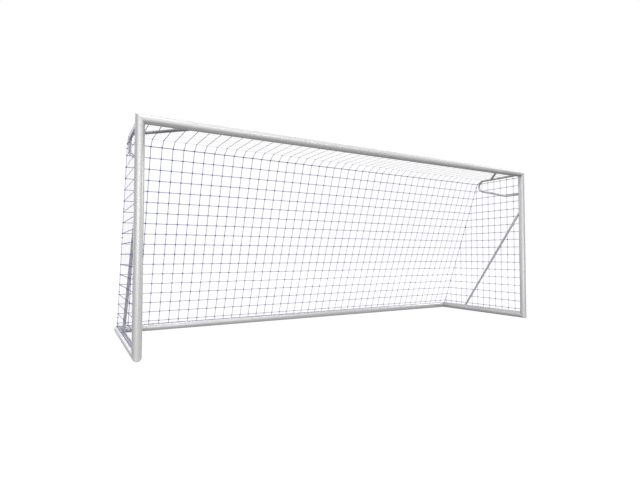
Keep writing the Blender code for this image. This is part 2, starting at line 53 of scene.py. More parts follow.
Y = Vector((0, 1, 0))
Z = Vector((0, 0, 1))
SIDES = (("left", -1), ("right", 1))
BODY = "root"

# Tubes
TUBE_RADIUS = 0.040
TUBE_SIDES = 112
TUBE_CHAMFER = 0.0006
MITRE_GAP = 0.0003
GROOVE_WIDTH = 0.006
GROOVE_DEPTH = 0.0025
GROOVE_LIP = 0.0007
GROOVE_LIP_STEPS = 5
TUBE_SHARP_ANGLE = 35
BAR_RADIUS = 0.015
BAR_SIDES = 40

# Thin tubes' routes, as depths behind the posts' axis, heights and radii
HOOP_BEND_RADIUS = 0.082
HOOP_BEND_STEPS = 28
HOOP_KINK_DEPTH = 0.256
HOOP_KINK_RADIUS = 0.050
HOOP_KINK_STEPS = 8
BRACE_REACH = 0.514
STRUT_TOP_HEIGHT = 1.541
STRUT_FOOT_DEPTH = 1.064
BAR_END_SHARE = 0.2

# Welds where the thin tubes meet other tubes
WELD_RADIUS = 0.0026
WELD_SIDES = 8
WELD_POINTS = 72
WELD_RIPPLES = 24
WELD_RIPPLE_DEPTH = 0.12
WELD_SHARP_ANGLE = 80

# Grub screws
SCREW_RADIUS = 0.004
SCREW_SOCKET_RADIUS = 0.0024
SCREW_SOCKET_DEPTH = 0.003
SCREW_CHAMFER = 0.0005
SCREW_SINK = 0.0003
SCREW_LENGTH = 0.006
SCREW_SIDES = 24
SCREW_HOLE_RADIUS = 0.0043

# Hooks in the tubes' grooves
STRIP_WIDTH = 0.0054
STRIP_LOW = 0.0378
STRIP_TOP = 0.0410
STRIP_CHAMFER = 0.0005
STRIP_BEVEL = 0.0003
STRIP_BEVEL_ANGLE = 50
STRIP_SHARP_ANGLE = 30
HOOK_WALL = 0.0018
HOOK_WIDTH = 0.012
HOOK_LIP = 0.0022
HOOK_TIP_REACH = 0.8
HOOK_TIP_DROP = 0.35
HOOK_STEPS = 10
ROPE_DISTANCE = 0.0449
CAVITY_RADIUS = 0.0023
CELLS_PER_HOOK = 3

# Net cords, flat and braided: width and thickness of each kind. The ridge and the head are the
# rows above and below the shoulder, the hem is the side panels' lowest row, ropes run along the
# tubes, and seams and edges join the panels.
CAD_CORD = 0.004
CORD_SIZES = {
    "row": (0.0053, 0.0005),
    "column": (0.0049, 0.0005),
    "ridge": (0.0050, 0.0006),
    "roof_row": (0.0028, 0.0002),
    "roof_column": (0.0062, 0.0008),
    "head": (0.0064, 0.0012),
    "hem": (0.0054, 0.0012),
    "rope": (0.0030, 0.0016),
    "seam": (0.0030, 0.0016),
    "edge": (0.0060, 0.0026),
}
CORD_FLAT_SHARE = 0.55
CORD_STEPS = (0.0, 0.30, 0.70, 1.0)
CORD_END_SWELL = 1.15
CORD_WOBBLE = 0.0007

# Knots: length, width and thickness of their lumps
KNOT_SIZE = (0.0178, 0.0132, 0.0042)
ROOF_KNOT_SIZE = (0.0084, 0.0070, 0.0006)
SEAM_KNOT_SIZE = (0.0080, 0.0056, 0.0020)
EDGE_KNOT_SIZE = (0.0195, 0.0140, 0.0125)
RIM_KNOTS = {
    "ridge": KNOT_SIZE,
    "rope": SEAM_KNOT_SIZE,
    "seam": SEAM_KNOT_SIZE,
    "edge": EDGE_KNOT_SIZE,
}
KNOT_TURN = math.radians(36)
KNOT_TURN_SPREAD = 0.12
KNOT_LUMPS = ((1, 1.0), (-1, 0.94))
KNOT_SIDES = 8
KNOT_RINGS = 4
NET_SHARP_ANGLE = 60

# Mesh, with the least distance between two knots and the distance from the tubes within which
# the side panels come in to the others
MESH_CELLS_WIDE = 46
MESH_DEPTH_PITCH = 0.1105
MESH_HEIGHT_PITCH = 0.1107
KNOT_CLEARANCE = 0.018
SIDE_REACH = 0.10
NET_SEED = 7

# Surface patterns; each relief is a strength and a height in metres
MIX_COLOUR_INPUTS = (6, 7)
MIX_COLOUR_OUTPUT = 2
NOISE_RANGE = (0.3, 0.7)
DRAWN_NOISE = {"Scale": 1.0, "Detail": 3.0, "Roughness": 0.6}
DRAWN_SCALE = (700, 4, 1)
DRAWN_ROUGHNESS = 0.04
DRAWN_RELIEF = (0.10, 0.0002)
CLOUD_NOISE = {"Scale": 9.0, "Detail": 4.0, "Roughness": 0.55}
CLOUD_TONE = 0.98
CLOUD_ROUGHNESS = (-0.01, 0.015)
ALUMINIUM_SPECULAR = 0.03
BRAID_SLANT = 12.566
BRAID_PITCH = 2600.0
# Share of painted shade in the braid's grooves and painted highlight on its ridges in the cord's
# colour
BRAID_PAINTED_SHADE = 0.18
BRAID_RELIEF = (0.6, 0.0003)
DYE_NOISE = {"Scale": 14.0, "Detail": 4.0}
DYE_RANGE = (0.15, 0.75)
CORD_ROUGHNESS = 0.6
CORD_SPECULAR = 0.3

# Camera, solved from the tubes' edges
CAMERA_PLACE = (-3.0486, -4.7011, 0.8826)
CAMERA_YAW = 29.957
CAMERA_PITCH = 2.0013
CAMERA_LENS = 24.564
CAMERA_SENSOR = 36.0

# Studio; each lamp has a name, azimuth, elevation, distance, size and level
LAMP_TARGET = Vector((0, 0, 1))
LAMPS = (
    ("front_lamp", 15.5, 6.8, 15.9, 2.7, 0.283),
    ("left_lamp", 40.4, 6.8, 15.8, 2.6, 0.221),
    ("centre_lamp", -7.9, 9.3, 9.9, 1.6, 0.030),
    ("high_lamp", -17.1, 37.6, 16.9, 2.8, 0.210),
    ("right_lamp", -92.7, 27.4, 29.4, 4.9, 0.471),
    ("top_lamp", 33.5, 66.1, 13.7, 2.3, 0.562),
    ("rear_lamp", 149.8, 21.8, 29.9, 5.0, 0.160),
    ("low_rear_lamp", 129.0, 3.0, 7.9, 1.3, 0.120),
)
WHITE = (1, 1, 1, 1)
WORLD_LEVEL = 0.071
FLOOR_COLOUR = (0.10, 0.10, 0.10, 1)
FLOOR_REACH = 60.0
FLOOR_CORNERS = ((-1, -1), (1, -1), (1, 1), (-1, 1))
FLOOR_GLOW = (0.93, 1.0)
FLOOR_GLOW_REACH = (3.5, 9.0)


# Places taken from the plain solids

def middle(node):
    """Middle of a plain solid's box."""
    low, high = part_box(node)
    return (low + high) / 2


POST_X = middle("right_post").x
POST_Y = middle("right_post").y
BAR_Z = middle("crossbar").z
GROUND_Z = middle("rear_ground_tube").z
REAR_Y = middle("rear_ground_tube").y
HOOP_LOW, HOOP_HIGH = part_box("right_net_hoop")
THIN_X = (HOOP_LOW.x + HOOP_HIGH.x) / 2
HOOP_Z = HOOP_HIGH.z - BAR_RADIUS
HOOP_KINK_Z = HOOP_LOW.z + BAR_RADIUS
HOOP_BEND_Y = HOOP_HIGH.y - BAR_RADIUS - HOOP_BEND_RADIUS
BRACE_Z = middle("right_top_brace").z
SIDE_NET_X = middle("right_side_net").x
ROOF_LOW, ROOF_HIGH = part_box("roof_net")
PANEL_X = ROOF_HIGH.x - CAD_CORD / 2
ROOF_Z = (ROOF_LOW.z + ROOF_HIGH.z) / 2
FRONT_Y = ROOF_LOW.y + CAD_CORD / 2
SHOULDER_LOW, SHOULDER_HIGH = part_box("shoulder_net")
ROOF_REAR_Y = SHOULDER_LOW.y
SHOULDER_Y = SHOULDER_HIGH.y
SHOULDER_Z = SHOULDER_LOW.z
BACK_LOW, BACK_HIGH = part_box("back_net")
FOOT_Y = BACK_HIGH.y - CAD_CORD / 2
FOOT_Z = BACK_LOW.z + CAD_CORD / 2
SIDE_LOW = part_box("right_side_net")[0]
SIDE_FRONT_Y = SIDE_LOW.y + CAD_CORD / 2
SIDE_FOOT_Z = SIDE_LOW.z + CAD_CORD / 2
SIDE_REAR_Y = FOOT_Y + (FOOT_Z - SIDE_FOOT_Z) * (FOOT_Y - SHOULDER_Y) / (SHOULDER_Z - FOOT_Z)

ROOF_ANGLE = math.asin((ROOF_Z - BAR_Z) / ROPE_DISTANCE)
SIDE_ANGLE = math.asin((SIDE_NET_X - POST_X) / ROPE_DISTANCE)
BACK_ANGLE = math.atan2(REAR_Y - SHOULDER_Y, SHOULDER_Z - GROUND_Z)


# Materials

def new_material(name):
    """Material with a Principled shader, its node tree and that shader."""
    material = bpy.data.materials.new(name)
    material.use_nodes = True
    tree = material.node_tree
    return material, tree, tree.nodes["Principled BSDF"]


def add_node(tree, kind, **values):
    """Shader node with some of its inputs set by name."""
    node = tree.nodes.new("ShaderNode" + kind)
    for name, value in values.items():
        node.inputs[name].default_value = value
    return node


def math_node(tree, operation, *values, clamp=False):
    """Result of a math node whose inputs are numbers or other nodes' results."""
    node = add_node(tree, "Math")
    node.operation = operation
    node.use_clamp = clamp
    for i, value in enumerate(values):
        if isinstance(value, float):
            node.inputs[i].default_value = value
        else:
            tree.links.new(value, node.inputs[i])
    return node.outputs["Value"]


def map_range(tree, value, source, target):
    """Values carried over from one range to another."""
    node = add_node(tree, "MapRange")
    node.inputs["From Min"].default_value, node.inputs["From Max"].default_value = source
    node.inputs["To Min"].default_value, node.inputs["To Max"].default_value = target
    tree.links.new(value, node.inputs["Value"])
    return node.outputs["Result"]


def spread(tree, value, low, high):
    """A noise texture's values, spread from low to high."""
    return map_range(tree, value, NOISE_RANGE, (low, high))


def noise(tree, **values):
    """Noise pattern that is fixed to the piece."""
    node = add_node(tree, "TexNoise", **values)
    place = add_node(tree, "TexCoord")
    tree.links.new(place.outputs["Object"], node.inputs["Vector"])
    return node.outputs["Fac"]


def surface_uv(tree):
    """Coordinates of the piece's own surface map, which follows its length."""
    uv = add_node(tree, "UVMap")
    uv.uv_map = "surface"
    return uv.outputs["UV"]


def mix_colours(tree, share, first, second):
    """Blend of two colours by a 0 to 1 share."""
    mix = add_node(tree, "Mix")
    mix.data_type = "RGBA"
    tree.links.new(share, mix.inputs[0])
    for socket, colour in zip(MIX_COLOUR_INPUTS, (first, second)):
        mix.inputs[socket].default_value = (*colour, 1)
    return mix.outputs[MIX_COLOUR_OUTPUT]


def raise_surface(tree, shader, height, strength, distance):
    """Fine relief that follows a pattern."""
    bump = add_node(tree, "Bump", Strength=strength, Distance=distance)
    tree.links.new(height, bump.inputs["Height"])
    tree.links.new(bump.outputs["Normal"], shader.inputs["Normal"])


def drawn_aluminium(name, colour, metallic, roughness):
    """Anodised aluminium with fine drawing lines along the tube and faint cloudy patches."""
    material, tree, shader = new_material(name)
    mapping = add_node(tree, "Mapping", Scale=DRAWN_SCALE)
    tree.links.new(surface_uv(tree), mapping.inputs["Vector"])
    pattern = add_node(tree, "TexNoise", **DRAWN_NOISE)
    tree.links.new(mapping.outputs["Vector"], pattern.inputs["Vector"])
    lines = pattern.outputs["Fac"]
    clouds = noise(tree, **CLOUD_NOISE)
    darker = tuple(CLOUD_TONE * c for c in colour)
    tone = mix_colours(tree, spread(tree, clouds, 0.0, 1.0), darker, colour)
    tree.links.new(tone, shader.inputs["Base Color"])
    fine = spread(tree, lines, -DRAWN_ROUGHNESS, DRAWN_ROUGHNESS)
    low, high = CLOUD_ROUGHNESS
    broad = spread(tree, clouds, roughness + low, roughness + high)
    tree.links.new(math_node(tree, "ADD", fine, broad), shader.inputs["Roughness"])
    raise_surface(tree, shader, lines, *DRAWN_RELIEF)
    shader.inputs["Metallic"].default_value = metallic
    shader.inputs["Specular IOR Level"].default_value = ALUMINIUM_SPECULAR
    return material


def grainy_material(name, scale, detail, colours, roughness, metallic, relief):
    """Material with a fine grain in its colour and roughness, and in its relief if it has one."""
    material, tree, shader = new_material(name)
    grain = noise(tree, Scale=scale, Detail=detail)
    tone = mix_colours(tree, spread(tree, grain, 0.0, 1.0), *colours)
    tree.links.new(tone, shader.inputs["Base Color"])
    tree.links.new(spread(tree, grain, *roughness), shader.inputs["Roughness"])
    shader.inputs["Metallic"].default_value = metallic
    if relief:
        raise_surface(tree, shader, grain, *relief)
    return material


def net_cord(name, dark, light):
    """Braided polypropylene: two sets of crossing ridges along the cord, uneven dye and painted
    shade in the braid's grooves.
    """
    material, tree, shader = new_material(name)
    split = add_node(tree, "SeparateXYZ")
    tree.links.new(surface_uv(tree), split.inputs["Vector"])
    ridges = []
    for slant in (BRAID_SLANT, -BRAID_SLANT):
        turns = math_node(tree, "MULTIPLY", split.outputs["X"], slant)
        phase = math_node(tree, "MULTIPLY_ADD", split.outputs["Y"], BRAID_PITCH, turns)
        ridges.append(math_node(tree, "SINE", phase))
    braid = math_node(tree, "MAXIMUM", *ridges)
    dye = spread(tree, noise(tree, **DYE_NOISE), *DYE_RANGE)
    # Colour follows the braid's relief: painted shade in the grooves and painted highlight on the
    # ridges, on top of the uneven dye
    share = math_node(tree, "MULTIPLY_ADD", braid, BRAID_PAINTED_SHADE, dye, clamp=True)
    tree.links.new(mix_colours(tree, share, dark, light), shader.inputs["Base Color"])
    raise_surface(tree, shader, braid, *BRAID_RELIEF)
    shader.inputs["Roughness"].default_value = CORD_ROUGHNESS
    shader.inputs["Specular IOR Level"].default_value = CORD_SPECULAR
    return material


TUBE_METAL = drawn_aluminium("tube_aluminium", (0.55, 0.55, 0.554), 0.27, 0.436)
BAR_METAL = drawn_aluminium("bar_aluminium", (0.62, 0.62, 0.626), 0.08, 0.46)
WELD_METAL = grainy_material(
    "weld_metal", 900.0, 3.0, ((0.50, 0.50, 0.50), (0.62, 0.62, 0.61)), (0.38, 0.55), 0.6,
    (0.3, 0.0002))
CAST_METAL = grainy_material(
    "cast_aluminium", 1400.0, 2.0, ((0.40, 0.40, 0.41), (0.52, 0.52, 0.53)), (0.5, 0.7), 0.8,
    (0.4, 0.0003))
STEEL = grainy_material(
    "screw_steel", 2500.0, 2.0, ((0.30, 0.30, 0.31), (0.42, 0.42, 0.43)), (0.25, 0.40), 1.0, None)
PLASTIC = grainy_material(
    "hook_plastic", 1800.0, 3.0, ((0.38, 0.39, 0.40), (0.44, 0.45, 0.46)), (0.45, 0.60), 0.0,
    (0.2, 0.0001))
CORD = net_cord("net_cord", (0.040, 0.034, 0.34), (0.075, 0.066, 0.56))
# Knots take the cord's colours darkened to about half: painted shade in the knots' tight turns
SHADED_KNOT_CORD = net_cord("net_knot_shaded", (0.020, 0.016, 0.14), (0.042, 0.036, 0.28))


# Mesh helpers

class Shape:
    """Points, faces and surface-map corners that are collected and then made into one piece."""

    def __init__(self):
        self.points = []
        self.faces = []
        self.corners = []
        self.slots = []

    def face(self, indices, corners, slot=0):
        """One face with its surface-map corners."""
        self.faces.append(indices)
        self.corners.extend(corners)
        self.slots.append(slot)

    def skin(self, rings, along, around, slot=0, caps=True, closed=False):
        """Quads between rings of points. along and around are the rings' and points' map places."""
        starts = []
        for ring in rings:
            starts.append(len(self.points))
            self.points.extend(ring)
        count = len(rings[0])
        last = len(rings) if closed else len(rings) - 1
        for i in range(last):
            a = starts[i]
            b = starts[(i + 1) % len(rings)]
            for k in range(count):
                n = (k + 1) % count
                quad = (a + k, a + n, b + n, b + k)
                places = (
                    (around[k], along[i]),
                    (around[k + 1], along[i]),
                    (around[k + 1], along[i + 1]),
                    (around[k], along[i + 1]),
                )
                self.face(quad, places, slot)
        if caps and not closed:
            head = [(around[k], along[0]) for k in range(count)]
            tail = [(around[k], along[-1]) for k in range(count)]
            self.face(tuple(starts[0] + k for k in reversed(range(count))), head[::-1], slot)
            self.face(tuple(starts[-1] + k for k in range(count)), tail, slot)

    def piece(self, name, materials, sharp_angle=TUBE_SHARP_ANGLE):
        """The collected shape as a smooth-shaded object."""
        mesh = bpy.data.meshes.new(name)
        mesh.from_pydata(self.points, [], self.faces)
        for material in materials:
            mesh.materials.append(material)
        mesh.polygons.foreach_set("material_index", self.slots)
        layer = mesh.uv_layers.new(name="surface")
        layer.data.foreach_set("uv", [value for corner in self.corners for value in corner])
        solid = bmesh.new()
        solid.from_mesh(mesh)
        bmesh.ops.recalc_face_normals(solid, faces=solid.faces)
        solid.to_mesh(mesh)
        solid.free()
        mesh.shade_smooth()
        mesh.set_sharp_from_angle(angle=math.radians(sharp_angle))
        item = bpy.data.objects.new(name, mesh)
        bpy.context.scene.collection.objects.link(item)
        return item


def place_piece(item, slot, *nodes):
    """Let a piece ride on the goal and stand for its plain solids."""
    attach(item, BODY)
    if nodes:
        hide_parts(*nodes)


def cut_away(item, cutters):
    """Cut other solids out of a piece and remove them."""
    for cutter in cutters:
        modifier = item.modifiers.new(cutter.name, "BOOLEAN")
        modifier.operation = "DIFFERENCE"
        modifier.object = cutter
        modifier.solver = "EXACT"
    graph = bpy.context.evaluated_depsgraph_get()
    mesh = bpy.data.meshes.new_from_object(item.evaluated_get(graph))
    item.modifiers.clear()
    old = item.data
    item.data = mesh
    bpy.data.meshes.remove(old)
    for cutter in cutters:
        bpy.data.objects.remove(cutter, do_unlink=True)


def distances(points, closed=True):
    """Running distance along a list of points."""
    total = [0.0]
    ends = points[1:] + points[:1] if closed else points[1:]
    for a, b in zip(points, ends):
        total.append(total[-1] + math.dist(a, b))
    return total


# Main tubes

def tube_outline(groove_angle):
    """Round section with a groove that has rounded lips, as (side, up) points."""
    half = GROOVE_WIDTH / 2
    floor = TUBE_RADIUS - GROOVE_DEPTH
    lip_centre = half + GROOVE_LIP
    lip_height = math.sqrt((TUBE_RADIUS - GROOVE_LIP) ** 2 - lip_centre ** 2)
    lip_angle = math.atan2(lip_centre, lip_height)
    local = []
    for i in range(GROOVE_LIP_STEPS + 1):
        turn = math.pi / 2 - lip_angle + (math.pi / 2 + lip_angle) * i / GROOVE_LIP_STEPS
        across = lip_centre + GROOVE_LIP * math.cos(turn)
        height = lip_height + GROOVE_LIP * math.sin(turn)
        local.append((across, height))
    local.append((half, floor))
    groove = [(-a, h) for a, h in local] + [(a, h) for a, h in reversed(local)]
    outline = [(h, a) for a, h in groove]
    for i in range(1, TUBE_SIDES):
        turn = lip_angle + (2 * math.pi - 2 * lip_angle) * i / TUBE_SIDES
        outline.append((TUBE_RADIUS * math.cos(turn), TUBE_RADIUS * math.sin(turn)))
    turned = []
    for a, b in outline:
        turned.append((
            a * math.cos(groove_angle) - b * math.sin(groove_angle),
            a * math.sin(groove_angle) + b * math.cos(groove_angle),
        ))
    return turned


def mitred_tube(name, start, end, side, up, groove_angle, start_normal, end_normal, screws):
    """Grooved tube with chamfered mitred ends and pockets for its grub screws."""
    axis = (end - start).normalized()
    outline = tube_outline(groove_angle)
    around = distances([Vector(p) for p in outline])
    rings = []
    for corner, normal, way in ((start, start_normal, axis), (end, end_normal, -axis)):
        facing = normal.normalized()
        if facing.dot(way) < 0:
            facing = -facing
        levels = ((MITRE_GAP / 2, TUBE_CHAMFER), (MITRE_GAP / 2 + TUBE_CHAMFER, 0.0))
        pair = []
        for back, shrink in levels:
            ring = []
            scale = 1 - shrink / TUBE_RADIUS
            for a, b in outline:
                base = start + side * (a * scale) + up * (b * scale)
                along = (corner + facing * back - base).dot(facing) / axis.dot(facing)
                ring.append(base + axis * along)
            pair.append(ring)
        rings.extend(pair if corner is start else pair[::-1])
    length = (end - start).length
    shape = Shape()
    shape.skin(rings, [0.0, TUBE_CHAMFER, length - TUBE_CHAMFER, length], around)
    tube = shape.piece(name + "_tube", [TUBE_METAL])
    cutters = []
    for place, face in screws:
        top = place + face * (TUBE_RADIUS + SCREW_RADIUS)
        bottom = place + face * (TUBE_RADIUS - SCREW_LENGTH)
        cutters.append(rod("pocket", bottom, top, SCREW_HOLE_RADIUS, SCREW_SIDES))
    cut_away(tube, cutters)
    place_piece(tube, "tube_aluminium", name)


def rod(name, start, end, radius, sides):
    """Plain round rod."""
    axis = (end - start).normalized()
    side = axis.orthogonal().normalized()
    up = axis.cross(side)
    shape = Shape()
    rings = [ring_at(point, side, up, radius, sides) for point in (start, end)]
    shape.skin(rings, [0, (end - start).length], even_steps(radius, sides))
    return shape.piece(name, [TUBE_METAL])


def ring_at(centre, side, up, radius, sides):
    """Points of a circle round a centre."""
    ring = []
    for i in range(sides):
        turn = 2 * math.pi * i / sides
        ring.append(centre + side * (radius * math.cos(turn)) + up * (radius * math.sin(turn)))
    return ring


def even_steps(radius, sides):
    """Distances round a circle, one for each corner and one to close it."""
    return [2 * math.pi * radius * i / sides for i in range(sides + 1)]


def build_frame():
    """Posts, crossbar and ground tubes with the screws that hold their connectors."""
    corner = {}
    for side, sign in SIDES:
        corner[side + "_top"] = Vector((sign * POST_X, POST_Y, BAR_Z))
        corner[side + "_front"] = Vector((sign * POST_X, POST_Y, GROUND_Z))
        corner[side + "_rear"] = Vector((sign * POST_X, REAR_Y, GROUND_Z))

    def screw_at(place, letter, face):
        """Place of a screw on its tube's axis and the way that it faces."""
        centre = middle(place + "_screw_" + letter)
        return centre - face * (centre - corner[place]).dot(face), face

    for side, sign in SIDES:
        outward = X * sign
        mitred_tube(
            side + "_post", corner[side + "_front"], corner[side + "_top"], Y, outward, SIDE_ANGLE,
            Y - Z, outward - Z, [screw_at(side + "_top", "a", Y), screw_at(side + "_front", "a", Y)])
        mitred_tube(
            side + "_ground_tube", corner[side + "_front"], corner[side + "_rear"], Z, outward,
            SIDE_ANGLE, Y - Z, outward - Y,
            [screw_at(side + "_front", "b", -Z), screw_at(side + "_rear", "a", -Z)])
    mitred_tube(
        "crossbar", corner["left_top"], corner["right_top"], Y, Z, ROOF_ANGLE, X + Z, X - Z,
        [screw_at(side + "_top", "b", Y) for side, sign in SIDES])
    mitred_tube(
        "rear_ground_tube", corner["left_rear"], corner["right_rear"], Z, -Y, BACK_ANGLE,
        X + Y, X - Y, [screw_at(side + "_rear", "b", -Z) for side, sign in SIDES])

    faces = {"top": (Y, Y), "front": (Y, -Z), "rear": (-Z, -Z)}
    for place in corner:
        for letter, face in zip("ab", faces[place.split("_")[1]]):
            centre, way = screw_at(place, letter, face)
            grub_screw(place + "_screw_" + letter, centre, way)
        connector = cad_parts[place + "_connector"]
        connector.data.materials.clear()
        connector.data.materials.append(CAST_METAL)


def grub_screw(node, place, face):
    """Flush set screw with a chamfered end and a six-sided socket."""
    side = face.orthogonal().normalized()
    up = face.cross(side)
    top = place + face * (TUBE_RADIUS - SCREW_SINK)
    low = place + face * (TUBE_RADIUS - SCREW_LENGTH + SCREW_SINK)

    def round_ring(centre, radius):
        """Round ring of points."""
        return ring_at(centre, side, up, radius, SCREW_SIDES)

    def hex_ring(centre, radius):
        """Ring of as many points along a hexagon."""
        ring = []
        for i in range(SCREW_SIDES):
            turn = 2 * math.pi * i / SCREW_SIDES
            inside = (turn % (math.pi / 3)) - math.pi / 6
            reach = radius * math.cos(math.pi / 6) / math.cos(inside)
            ring.append(centre + side * (reach * math.cos(turn)) + up * (reach * math.sin(turn)))
        return ring

    rings = [
        round_ring(low, SCREW_RADIUS),
        round_ring(top - face * SCREW_CHAMFER, SCREW_RADIUS),
        round_ring(top, SCREW_RADIUS - SCREW_CHAMFER),
        hex_ring(top, SCREW_SOCKET_RADIUS),
        hex_ring(top - face * SCREW_SOCKET_DEPTH, SCREW_SOCKET_RADIUS),
    ]
    along = [
        0, SCREW_LENGTH, SCREW_LENGTH + SCREW_CHAMFER, SCREW_LENGTH + SCREW_RADIUS / 2,
        2 * SCREW_LENGTH,
    ]
    shape = Shape()
    shape.skin(rings, along, even_steps(SCREW_RADIUS, SCREW_SIDES))
    place_piece(shape.piece(node + "_detail", [STEEL]), "screw_steel", node)


# Thin tubes

def reach_cylinder(point, way, limit, centre, axis, radius):
    """How far a line goes along its way before it meets a cylinder, up to a limit."""
    offset = point - centre
    flat_offset = offset - axis * offset.dot(axis)
    flat_way = way - axis * way.dot(axis)
    a = flat_way.dot(flat_way)
    b = flat_way.dot(flat_offset)
    c = flat_offset.dot(flat_offset) - radius * radius
    inside = b * b - a * c
    if inside <= 0:
        return limit
    return min(limit, (-b - math.sqrt(inside)) / a)


def bent_tube(name, points, normal, start_on, end_on):
    """Round tube along a flat path, whose ends are cut to sit on the cylinders that they meet."""
    rings = []
    last = len(points) - 1
    for i, point in enumerate(points):
        before = (point - points[i - 1]).normalized() if i else None
        after = (points[i + 1] - point).normalized() if i < last else None
        first = before or after
        second = after or before
        forward = (first + second).normalized()
        side = normal.cross(forward) / forward.dot(second)
        rings.append(ring_at(point, side, normal, BAR_RADIUS, BAR_SIDES))
    for index, inner, cylinder in ((0, 1, start_on), (last, last - 1, end_on)):
        way = (points[index] - points[inner]).normalized()
        flat = points[index].dot(way)
        ring = []
        for point in rings[inner]:
            limit = flat - point.dot(way)
            ring.append(point + way * reach_cylinder(point, way, limit, *cylinder))
        rings[index] = ring
    along = distances(points, closed=False)
    shape = Shape()
    shape.skin(rings, along, even_steps(BAR_RADIUS, BAR_SIDES))
    place_piece(shape.piece(name + "_tube", [BAR_METAL]), "bar_aluminium", name)
    return rings[0], rings[-1]


def resample(loop, count):
    """Evenly spaced points along a closed loop of points."""
    total = distances(loop)
    result = []
    index = 0
    for i in range(count):
        target = total[-1] * i / count
        while total[index + 1] < target:
            index += 1
        span = total[index + 1] - total[index]
        share = (target - total[index]) / span if span else 0
        result.append(loop[index].lerp(loop[(index + 1) % len(loop)], share))
    return result


def weld_bead(name, loop):
    """Rippled bead round the line where two tubes meet."""
    points = resample(loop, WELD_POINTS)
    centre = sum(points, Vector()) / len(points)
    rings = []
    for i, point in enumerate(points):
        forward = (points[(i + 1) % WELD_POINTS] - points[i - 1]).normalized()
        out = point - centre
        out = (out - forward * out.dot(forward)).normalized()
        ripple = 1 + WELD_RIPPLE_DEPTH * math.sin(2 * math.pi * i * WELD_RIPPLES / WELD_POINTS)
        rings.append(ring_at(point, out, forward.cross(out), WELD_RADIUS * ripple, WELD_SIDES))
    shape = Shape()
    total = distances(points)
    shape.skin(rings, total, even_steps(WELD_RADIUS, WELD_SIDES), closed=True)
    place_piece(shape.piece(name, [WELD_METAL], WELD_SHARP_ANGLE), "bar_aluminium")


def arc(centre, first, second, radius, angle, steps):
    """Points of an arc that starts at centre + first and turns towards second."""
    points = []
    for i in range(steps + 1):
        turn = angle * i / steps
        points.append(
            centre + first * (radius * math.cos(turn)) + second * (radius * math.sin(turn)))
    return points


def hoop_path(x):
    """Top bar, bend, sloping lower bar, kink and level end of a net hoop."""
    centre = Vector((x, HOOP_BEND_Y, HOOP_Z - HOOP_BEND_RADIUS))
    kink = Vector((x, POST_Y + HOOP_KINK_DEPTH, HOOP_KINK_Z))
    offset = centre - kink
    slope = math.atan2(offset.z, offset.y) - math.asin(HOOP_BEND_RADIUS / offset.length)
    bend = arc(centre, Z, Y, HOOP_BEND_RADIUS, math.pi - slope, HOOP_BEND_STEPS)
    bar_way = Y * math.cos(slope) + Z * math.sin(slope)
    up = Z * math.cos(slope) - Y * math.sin(slope)
    kink_start = kink + bar_way * (HOOP_KINK_RADIUS * math.tan(slope / 2))
    knee_centre = kink_start + up * HOOP_KINK_RADIUS
    knee = arc(knee_centre, -up, -bar_way, HOOP_KINK_RADIUS, slope, HOOP_KINK_STEPS)
    return [Vector((x, POST_Y, HOOP_Z))] + bend + knee + [Vector((x, POST_Y, HOOP_KINK_Z))]


def build_bars():
    """Net hoops, top braces and struts with their welds."""
    crossbar = (Vector((0, POST_Y, BAR_Z)), X, TUBE_RADIUS)
    for side, sign in SIDES:
        x = sign * THIN_X
        post = (Vector((sign * POST_X, POST_Y, 0)), Z, TUBE_RADIUS)
        ground = (Vector((sign * POST_X, 0, GROUND_Z)), Y, TUBE_RADIUS)
        hoop = (Vector((x, 0, HOOP_Z)), Y, BAR_RADIUS)
        upper, lower = bent_tube(side + "_net_hoop", hoop_path(x), X, crossbar, post)
        bar_end = Vector((x - sign * BRACE_REACH, POST_Y, BRACE_Z))
        hoop_end = Vector((x, POST_Y + BRACE_REACH, BRACE_Z))
        front, rear = bent_tube(
            side + "_top_brace", split_line(bar_end, hoop_end), Z, crossbar, hoop)
        top = Vector((x, POST_Y, STRUT_TOP_HEIGHT))
        foot = Vector((x, POST_Y + STRUT_FOOT_DEPTH, GROUND_Z))
        head, base = bent_tube(side + "_strut", split_line(top, foot), X, post, ground)
        welds = (("upper", upper), ("lower", lower), ("brace_front", front), ("brace_rear", rear),
                 ("strut_head", head), ("strut_foot", base))
        for name, loop in welds:
            weld_bead(side + "_" + name + "_weld", loop)


def split_line(start, end):
    """A straight path in three runs, so that its ends can be cut to a shape."""
    return [start, start.lerp(end, BAR_END_SHARE), start.lerp(end, 1 - BAR_END_SHARE), end]


# Hook strips

def hook_outline():
    """Closed outline of a hook as (distance from the tube's axis, way across the cord)."""
    outer = CAVITY_RADIUS + HOOK_WALL
    points = [(ROPE_DISTANCE - outer, -HOOK_LIP)]
    for i in range(HOOK_STEPS + 1):
        turn = math.pi * i / HOOK_STEPS
        points.append((ROPE_DISTANCE - outer * math.cos(turn), outer * math.sin(turn)))
    points.append((ROPE_DISTANCE + outer, -HOOK_LIP))
    tip = ROPE_DISTANCE + outer - HOOK_WALL * HOOK_TIP_REACH
    points.append((tip, -HOOK_LIP - HOOK_WALL * HOOK_TIP_DROP))
    points.append((ROPE_DISTANCE + CAVITY_RADIUS, -HOOK_LIP))
    for i in range(HOOK_STEPS + 1):
        turn = math.pi - math.pi * i / HOOK_STEPS
        reach = ROPE_DISTANCE - CAVITY_RADIUS * math.cos(turn)
        points.append((reach, CAVITY_RADIUS * math.sin(turn)))
    points.append((ROPE_DISTANCE - CAVITY_RADIUS, -HOOK_LIP))
    return points


